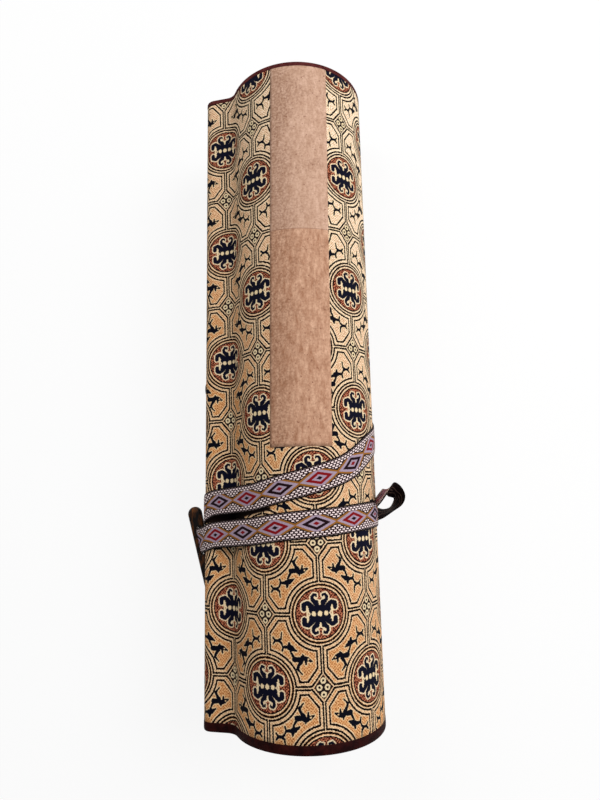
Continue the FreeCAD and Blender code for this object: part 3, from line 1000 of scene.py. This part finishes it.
def smooth(places, value):
    """A smooth curve through (key, value) places."""
    keys = [place[0] for place in places]
    span = 0
    while span < len(places) - 2 and value > keys[span + 1]:
        span += 1
    slopes = []
    for k in (span, span + 1):
        before, after = max(k - 1, 0), min(k + 1, len(places) - 1)
        slopes.append((places[after][1] - places[before][1]) / (keys[after] - keys[before]))
    width = keys[span + 1] - keys[span]
    part = (value - keys[span]) / width
    return (places[span][1] * (1 + 2 * part) * (1 - part) ** 2
            + places[span + 1][1] * part ** 2 * (3 - 2 * part)
            + slopes[0] * part * (1 - part) ** 2 * width + slopes[1] * part ** 2 * (part - 1) * width)


def drop_at(turn):
    if turn < 360:
        return smooth(FIRST_PASS, turn)
    return smooth(SECOND_PASS, turn - 360)


# %% The ribbon's outline and its wound part
HALF_RIBBON = RIBBON_WIDTH / 2
EDGE_SHARES = (-1.0, -0.97, -0.9, -0.7, -0.45, -0.2, 0.0, 0.2, 0.45, 0.7, 0.9, 0.97, 1.0)


def ribbon_outline():
    """Places (share of the half width, height) round the ribbon's section, front first."""
    def height(share):
        return 0.3 * (1 - abs(share) ** 14) + 0.05
    front = [(share, height(share)) for share in EDGE_SHARES]
    back = [(share, -height(share)) for share in EDGE_SHARES[::-1]]
    return front + back


ribbon_section = ribbon_outline()
taut = taut_samples(START_TURN - SPARE_TURN, 360 + END_TURN + SPARE_TURN, SAMPLE_TURN)


def length_at(turn):
    return min(taut, key=lambda sample: abs(sample[1] - turn))[0]


flap_stretches = [
    [length_at(whole + turn) for turn in (leave_turn - SAG_STARTS_BEFORE, SAG_ENDS, SAG_GREATEST)]
    for whole in (0, 360)]


def sag_at(length):
    """The ribbon slips a little further down over the flap, most at its nose."""
    for start, end, middle in flap_stretches:
        if start < length < end:
            from_end = length - start if length < middle else end - length
            share = from_end / (middle - start if length < middle else end - middle)
            return FLAP_SAG * share * share * (3 - 2 * share)
    return 0.0


def taut_place(length):
    """The point and outward direction at a distance along the taut path."""
    low, high = 0, len(taut) - 1
    while high - low > 1:
        middle = (low + high) // 2
        if taut[middle][0] <= length:
            low = middle
        else:
            high = middle
    before, after = taut[low], taut[high]
    gap = after[0] - before[0]
    share = min(max((length - before[0]) / gap, 0.0), 1.0) if gap > 0 else 0.0
    x = before[2][0] + (after[2][0] - before[2][0]) * share
    z = before[2][1] + (after[2][1] - before[2][1]) * share
    out_x = before[3][0] + (after[3][0] - before[3][0]) * share
    out_z = before[3][1] + (after[3][1] - before[3][1]) * share
    size = math.hypot(out_x, out_z)
    return (x, z), (out_x / size, out_z / size)


RING_SPACING = 1.5
SMOOTHINGS = 14


def middle_line():
    """The ribbon's middle on the unrolled path, evenly smoothed: (distance round, y)."""
    line = []
    for length, turn, _, _ in taut:
        if START_TURN <= turn <= 360 + END_TURN:
            line.append((length, slip_end - drop_at(turn) - sag_at(length)))
    even = []
    steps = int((line[-1][0] - line[0][0]) / RING_SPACING)
    index = 0
    for k in range(steps + 1):
        length = line[0][0] + (line[-1][0] - line[0][0]) * k / steps
        while index < len(line) - 2 and line[index + 1][0] < length:
            index += 1
        gap = line[index + 1][0] - line[index][0]
        share = (length - line[index][0]) / gap
        even.append([length, line[index][1] + (line[index + 1][1] - line[index][1]) * share])
    for _ in range(SMOOTHINGS):
        heights = [place[1] for place in even]
        for k in range(1, len(even) - 1):
            even[k][1] = (heights[k - 1] + 2 * heights[k] + heights[k + 1]) / 4
    return even


ribbon_line = middle_line()


def wound_rings(line):
    rings = []
    runs = []
    run = 0.0
    for k, (length, y) in enumerate(line):
        before = line[max(k - 1, 0)]
        after = line[min(k + 1, len(line) - 1)]
        way = Vector((after[0] - before[0], after[1] - before[1])).normalized()
        if k:
            run += math.dist(line[k - 1], line[k])
        ring = []
        for share, height in ribbon_section:
            aside = -share * HALF_RIBBON
            point, out = taut_place(length - aside * way.y)
            x = point[0] + out[0] * height
            z = point[1] + out[1] * height
            z = max(z, -axis_height + RIBBON_THICKNESS / 2 + height)
            ring.append(in_scene(x, y + aside * way.x, z))
        rings.append(ring)
        runs.append(run)
    return rings, runs


wound, wound_runs = wound_rings(ribbon_line)
print("wound ribbon rings", len(wound), "length mm", round(wound_runs[-1], 1))

# %% [markdown]
# At the left the ribbon's end dives through the peg's slot and turns back under it. At the right a
# loose bight of the same ribbon stands on edge. Both are swept along a smooth curve through a few
# places, each with the way that the ribbon's width points there.

# %% The end on the peg, and the loose bight
PEG_HEAD_OUT = 14.7
PEG_HEAD_DOWN = 26.8
PEG_SLANT = math.radians(13.7)
PEG_LENGTH = 58.0
PEG_THICKNESS = 3.4
PEG_SLOT_DISTANCE = 17.6
PEG_GAP = 0.1
peg_top = under_flap - PEG_GAP
peg_bottom = peg_top - PEG_THICKNESS


def peg_point(distance, aside=0.0):
    x = nose_x - PEG_HEAD_OUT + math.sin(PEG_SLANT) * distance + math.cos(PEG_SLANT) * aside
    y = slip_end - PEG_HEAD_DOWN - math.cos(PEG_SLANT) * distance + math.sin(PEG_SLANT) * aside
    return x, y


# The bight's middle: (clock angle, stand-off from the roll, drop below the slip) and width's way
BIGHT = (
    ((100.2, 0.0, 32.0), (-0.155, 0.5, -0.86)),
    ((98.9, 3.2, 31.9), (-0.12, 0.3, -0.94)),
    ((96.3, 7.1, 30.0), (-0.2, 0.12, -0.97)),
    ((93.0, 10.3, 27.0), (-0.4, 0.1, -0.9)),
    ((89.4, 11.4, 24.0), (-0.5, -0.08, -0.86)),
    ((86.1, 10.1, 21.5), (-0.47, -0.38, -0.8)),
    ((82.9, 8.2, 20.2), (-0.33, -0.5, -0.8)),
    ((80.3, 6.3, 20.5), (-0.3, 0.08, -0.95)),
    ((80.3, 4.4, 22.5), (-0.25, 0.2, -0.945)),
    ((80.9, 2.5, 24.7), (-0.25, 0.22, -0.94)),
    ((82.3, 0.4, 26.9), (-0.2, 0.24, -0.95)),
)


def between(values, place):
    """A smooth curve through a list of vectors, at a place counted in steps."""
    last = len(values) - 1
    k = min(int(place), last - 1)
    part = place - k
    before, here, there, after = (values[min(max(k + n, 0), last)] for n in (-1, 0, 1, 2))
    bend = 2 * here - 2 * there + (there - before) / 2 + (after - here) / 2
    curve = -3 * here + 3 * there - (there - before) - (after - here) / 2
    return here + (there - before) / 2 * part + curve * part ** 2 + bend * part ** 3


def strip_rings(middles, widths, parts, run):
    """Rings of the ribbon along a free curve."""
    rings = []
    runs = []
    last = len(middles) - 1
    steps = last * parts
    places = [between(middles, k / parts) for k in range(steps + 1)]
    for k, middle in enumerate(places):
        heading = places[min(k + 1, steps)] - places[max(k - 1, 0)]
        width = between(widths, k / parts).normalized()
        out = width.cross(heading).normalized()
        if k:
            run += (places[k] - places[k - 1]).length
        ring = []
        for share, height in ribbon_section:
            point = middle + width * (-share * HALF_RIBBON) + out * height
            ring.append(in_scene(*point))
        rings.append(ring)
        runs.append(run)
    return rings, runs


bight_middles = []
for (clock, stand_off, drop), _ in BIGHT:
    x, z = on_circle(path_roll + stand_off, clock)
    bight_middles.append(Vector((x, slip_end - drop, z)))
bight_widths = [Vector(width) for _, width in BIGHT]
bight, bight_runs = strip_rings(bight_middles, bight_widths, 6, 0.0)


def end_rings(run):
    """From the wound part's last ring over the peg, through its slot and back under it."""
    slot_x, slot_y = peg_point(PEG_SLOT_DISTANCE)
    back = Vector((-math.sin(PEG_SLANT), math.cos(PEG_SLANT), 0.0))
    under = peg_bottom - RIBBON_THICKNESS / 2 - PEG_GAP
    bend = RIBBON_THICKNESS
    length, y = ribbon_line[-1]
    start = taut_place(length)[0]
    middles = [
        Vector((start[0], y, start[1])),
        Vector(((start[0] + slot_x) / 2 - 0.3, (y + slot_y) / 2, (start[1] + peg_top + bend) / 2)),
        Vector((slot_x, slot_y, peg_top + bend)),
        Vector((slot_x, slot_y, (peg_top + peg_bottom) / 2)),
        Vector((slot_x, slot_y, under + bend)),
        Vector((slot_x + bend, slot_y, under)),
        Vector((slot_x + 3.4, slot_y, under)),
        Vector((slot_x + 6.0, slot_y, under)),
    ]
    along_roll = Vector((0.0, 1.0, 0.0))
    widths = [along_roll, (along_roll + back) / 2] + [back] * 6
    return strip_rings(middles, widths, 5, run)


tail_rings, tail_runs = end_rings(wound_runs[-1])

# %% Both pieces of the ribbon
SLACK = 3.2
SLACK_START = length_at(430) - length_at(START_TURN)
SLACK_LENGTH = 60.0


def woven_place(run):
    """The weave is a little slacker where the ribbon is out of sight below the roll."""
    share = min(max((run - SLACK_START) / SLACK_LENGTH, 0.0), 1.0)
    return run - SLACK * share


def make_ribbon_piece(name, rings, runs):
    size = len(ribbon_section)
    front = len(EDGE_SHARES)

    def place(step, k):
        share = ribbon_section[k % size][0]
        along = woven_place(runs[step]) * MM
        if k < front:
            return along, share * HALF_RIBBON * MM
        return along, (2 * RIBBON_WIDTH - share * HALF_RIBBON) * MM

    return loft(name, rings, {"ribbon_uv": place}, woven_ribbon)


for name, rings, runs, parent in (
        ("ribbon_band", wound[:-1] + tail_rings, wound_runs[:-1] + tail_runs, "cover_cloth"),
        ("ribbon_bight", bight, bight_runs, "ribbon_band")):
    piece = make_ribbon_piece(name, rings, runs)
    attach(piece, "root")
    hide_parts("ribbon")
    runs[-1] * MM
    print(piece.name, "flat length mm", round(runs[-1], 1))

# %% [markdown]
# The peg is carved from one piece of dark, streaked hardwood. A loft of rounded sections gives
# the soft edges, and a boolean cut makes the slot that the ribbon's end goes through.

# %% Peg
PEG_HEAD_WIDTH = 7.6
PEG_TIP_WIDTH = 5.0
PEG_SLOT_LENGTH = 14.6
PEG_SLOT_WIDTH = 1.7
PEG_RINGS = 48
PEG_SIDES = 32
SLOT_SIDES = 24
# Powers under 1 square up the rounded section: across, and up
PEG_SQUARENESS = (0.55, 0.6)


def bulge(value, power):
    return math.copysign(abs(value) ** power, value)


def make_peg():
    rings = []
    for step in range(PEG_RINGS + 1):
        share = (1 - math.cos(math.pi * step / PEG_RINGS)) / 2
        distance = 0.05 + (PEG_LENGTH - 0.1) * share
        half = (PEG_HEAD_WIDTH + (PEG_TIP_WIDTH - PEG_HEAD_WIDTH) * share) / 2
        rounding = 1.0
        for from_end in (distance, PEG_LENGTH - distance):
            if from_end < half:
                rounding = math.sqrt(1 - (1 - from_end / half) ** 2)
        thin = PEG_THICKNESS / 2 * (0.35 + 0.65 * rounding)
        ring = []
        for k in range(PEG_SIDES):
            angle = 2 * math.pi * k / PEG_SIDES
            across = bulge(math.cos(angle), PEG_SQUARENESS[0]) * half * rounding
            up = bulge(math.sin(angle), PEG_SQUARENESS[1]) * thin
            x, y = peg_point(distance, across)
            ring.append(in_scene(x, y, (peg_top + peg_bottom) / 2 + up))
        rings.append(ring)
    return loft("peg_body", rings, {}, peg_wood)


def slot_tool():
    rings = []
    for height in (peg_bottom - 2, peg_top + 2):
        ring = []
        for k in range(SLOT_SIDES):
            angle = 2 * math.pi * k / SLOT_SIDES
            end = PEG_SLOT_LENGTH / 2 - PEG_SLOT_WIDTH / 2
            along = math.copysign(end, math.cos(angle)) + math.cos(angle) * PEG_SLOT_WIDTH / 2
            x, y = peg_point(PEG_SLOT_DISTANCE + along, math.sin(angle) * PEG_SLOT_WIDTH / 2)
            ring.append(in_scene(x, y, height))
        rings.append(ring)
    return loft("slot_tool", rings, {}, peg_wood)


def apply_modifiers(piece):
    """Replace the mesh by what the modifiers make of it, and take them off."""
    graph = bpy.context.evaluated_depsgraph_get()
    mesh = bpy.data.meshes.new_from_object(piece.evaluated_get(graph))
    piece.modifiers.clear()
    piece.data = mesh


peg = make_peg()
cutter = slot_tool()
cut = peg.modifiers.new("slot", "BOOLEAN")
cut.operation = "DIFFERENCE"
cut.object = cutter
cut.solver = "EXACT"
apply_modifiers(peg)
bpy.data.objects.remove(cutter)
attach(peg, "root")
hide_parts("peg")
print("peg faces", len(peg.data.polygons))

# %% [markdown]
# At both ends the eye sees dozens of fine turns of paper. They follow a rule, so Geometry Nodes
# wind them: a spiral line is given a tall, thin profile, and its edge wanders a little. A real
# sheet is wound on a round stick, so towards it each turn steps in quickly and then stays level.

# %% Paper turns
roller_low, roller_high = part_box("roller")
roller_radius = (roller_high.x - roller_low.x) / 2 / MM
PAPER_PITCH = 0.56
PAPER_THICKNESS = 0.4
PAPER_INSET = 0.15
ROLLER_GAP = 0.06
POINTS_A_TURN = 64
# The last turns step in: over how many turns, and in what share of a turn at the roller
STEPPED_TURNS = 12.0
QUICKEST_STEP = 0.12
# Turns at each end of the spiral that lie tight
TIGHT_TURNS = 3.0


def make_turns_tree():
    """Winds a spiral round the Y axis and gives it a tall, thin profile."""
    tree = bpy.data.node_groups.new("wind_paper", "GeometryNodeTree")
    sizes = ("Outer radius", "First drop", "Pitch", "Turns", "Length", "Thickness",
             "Looseness", "Unevenness", "Start angle", "Axis height", "Seed")
    sockets = [(name, "Float") for name in sizes] + [("Points", "Int"), ("Material", "Material")]
    for name, kind in sockets:
        tree.interface.new_socket(name, in_out="INPUT", socket_type="NodeSocket" + kind)
    tree.interface.new_socket("Geometry", in_out="OUTPUT", socket_type="NodeSocketGeometry")
    board = Board(tree)
    size = board.add("NodeGroupInput").of
    line = board.add("GeometryNodeMeshLine", {"mode": "OFFSET"}, {"Count": size("Points")})
    turned = board.add("GeometryNodeInputIndex") / (size("Points") - 1.0) * size("Turns")
    first = board.smaller(turned, 1.0) * size("First drop")
    # After the first turn, which drops by the cover's end, the radius goes down turn by turn
    wound_so_far = board.larger(turned - 1.0, 0.0)
    whole = board.math("FLOOR", wound_so_far)
    left = size("Turns") - 1.0 - wound_so_far
    step_share = board.smaller(board.larger(left / STEPPED_TURNS, QUICKEST_STEP), 1.0)
    stepped = board.smaller((wound_so_far - whole) / step_share, 1.0)
    noise = {"W": wound_so_far * 0.7, "Scale": 1.0}
    loose = board.add("ShaderNodeTexNoise", {"noise_dimensions": "1D"}, noise)
    loose = (loose - 0.5) * size("Looseness")
    tight = board.smaller(board.smaller(wound_so_far, left) / TIGHT_TURNS, 1.0)
    later = (whole + stepped) * size("Pitch") + loose * tight
    radius = size("Outer radius") - first - later
    angle = board.fit(turned, 2 * math.pi, size("Start angle"))
    x = radius * board.math("SINE", angle)
    z = board.fit(radius, board.math("COSINE", angle), size("Axis height"))
    line = board.add("GeometryNodeSetPosition", {}, {0: line, 2: board.joined(x=x, z=z)})
    curve = board.add("GeometryNodeMeshToCurve", {}, {0: line})
    sides = {"Width": size("Length"), "Height": size("Thickness")}
    profile = board.add("GeometryNodeCurvePrimitiveQuadrilateral", {}, sides)
    inputs = {"Curve": curve, "Profile Curve": profile, "Fill Caps": True}
    skin = board.add("GeometryNodeCurveToMesh", {}, inputs)
    # The cut edges at the two ends lie a little unevenly
    here = board.add("GeometryNodeInputPosition")
    grain = {"Vector": here, "W": size("Seed"), "Scale": 420.0, "Detail": 2.0}
    uneven = board.add("ShaderNodeTexNoise", {"noise_dimensions": "4D"}, grain)
    end = board.math("SIGN", board.parts(here).of("Y"))
    inward = uneven * size("Unevenness") * (end * -1.0)
    skin = board.add("GeometryNodeSetPosition", {}, {0: skin, 3: board.joined(y=inward)})
    skin = board.add("GeometryNodeRealizeInstances", {}, {0: skin})
    skin = board.add("GeometryNodeSetMaterial", {}, {0: skin, 2: size("Material")})
    board.add("NodeGroupOutput", {}, {0: skin})
    return tree


first_radius = roll_radius - COVER_THICKNESS - TURN_CLEARANCE - PAPER_THICKNESS / 2
first_drop = COVER_THICKNESS + TURN_CLEARANCE
last_radius = roller_radius + PAPER_THICKNESS / 2 + ROLLER_GAP
later_turns = int((first_radius - first_drop - last_radius) / PAPER_PITCH)
turn_pitch = (first_radius - first_drop - last_radius) / later_turns
turns_tree = make_turns_tree()
turns_piece = bpy.data.objects.new("paper_turns", bpy.data.meshes.new("paper_turns"))
bpy.context.collection.objects.link(turns_piece)
winder = turns_piece.modifiers.new("wind", "NODES")
winder.node_group = turns_tree
turn_values = {
    "Outer radius": first_radius * MM, "First drop": first_drop * MM, "Pitch": turn_pitch * MM,
    "Turns": later_turns + 1.0, "Length": 2 * (half_length - PAPER_INSET) * MM,
    "Thickness": PAPER_THICKNESS * MM, "Looseness": 0.6 * MM, "Unevenness": 0.9 * MM,
    "Start angle": math.radians(TAIL_CLOCK), "Axis height": axis_height * MM, "Seed": 4.0,
    "Points": (later_turns + 1) * POINTS_A_TURN, "Material": scroll_paper,
}
for item in turns_tree.interface.items_tree:
    if item.in_out == "INPUT":
        winder[item.identifier] = turn_values[item.name]
apply_modifiers(turns_piece)
turns_piece.data.polygons.foreach_set("use_smooth", [False] * len(turns_piece.data.polygons))
if signed_volume(turns_piece.data) < 0:
    turns_piece.data.flip_normals()
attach(turns_piece, "root")
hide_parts("roll")
print("paper turns:", later_turns + 1, "faces", len(turns_piece.data.polygons))

# %% [markdown]
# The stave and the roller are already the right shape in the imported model, so they stay and only
# get their wood.

# %% Stave and roller
for node, wood in (("stave", stave_wood), ("roller", roller_wood)):
    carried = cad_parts[node]
    carried.data.materials.clear()
    carried.data.materials.append(wood)
    print(node, "wears", wood.name)

# %% [markdown]
# The photograph has a white ground and almost no shadow. So the floor shows the camera mostly a
# plain white, with a little of its own shading left, which keeps a faint shadow. The lamps are
# large and soft, and the stronger one stands to the right, where the cover is brightest.

# %% Floor, world and lamps
FLOOR_HALF = 3.0
FLOOR_LEVEL = -0.0002
FLOOR_WHITENESS = 0.86
WORLD_LIGHT = 0.29
LAMP_AIM = Vector((0.0, 0.0, 0.03))
LAMP_SIZE = 0.8
LAMPS = (("key", (0.95, 0.35, 0.85), 15.0), ("fill", (-0.45, 0.7, 0.8), 4.2))
WHITE = (1.0, 1.0, 1.0, 1.0)


def make_floor():
    board = Board(bpy.data.materials.new("floor_white"))
    rays = board.add("ShaderNodeLightPath", give="Is Camera Ray")
    seen = board.math("ADD", rays, rays.of("Is Glossy Ray"), clamp=True)
    plain = board.add("ShaderNodeBsdfDiffuse", {}, {"Color": (0.92, 0.92, 0.92, 1.0)})
    white = board.add("ShaderNodeEmission", {}, {"Color": WHITE, "Strength": 1.0})
    sides = {0: seen * FLOOR_WHITENESS, 1: plain, 2: white}
    mixed = board.add("ShaderNodeMixShader", {}, sides)
    board.add("ShaderNodeOutputMaterial", {}, {"Surface": mixed})
    mesh = bpy.data.meshes.new("floor")
    corners = [(x * FLOOR_HALF, y * FLOOR_HALF, FLOOR_LEVEL) for x, y in ((-1, -1), (1, -1), (1, 1), (-1, 1))]
    mesh.from_pydata(corners, [], [(0, 1, 2, 3)])
    mesh.materials.append(board.owner)
    floor = bpy.data.objects.new("floor", mesh)
    bpy.context.collection.objects.link(floor)


def make_world():
    """The camera sees the world plain white, and the object is lit by a part of that."""
    world = bpy.data.worlds.new("studio")
    bpy.context.scene.world = world
    board = Board(world)
    rays = board.add("ShaderNodeLightPath", give="Is Camera Ray")
    strength = board.fit(rays, 1.0 - WORLD_LIGHT, WORLD_LIGHT)
    sky = board.add("ShaderNodeBackground", {}, {"Color": WHITE, "Strength": strength})
    board.add("ShaderNodeOutputWorld", {}, {"Surface": sky})


def make_lamp(name, place, power):
    lamp = bpy.data.lights.new(name, "AREA")
    lamp.shape = "DISK"
    lamp.size = LAMP_SIZE
    lamp.energy = power
    holder = bpy.data.objects.new(name, lamp)
    holder.location = place
    holder.rotation_euler = (LAMP_AIM - Vector(place)).to_track_quat("-Z", "Y").to_euler()
    bpy.context.collection.objects.link(holder)
    print("lamp", name, "power", power)


make_floor()
make_world()
for lamp_values in LAMPS:
    make_lamp(*lamp_values)
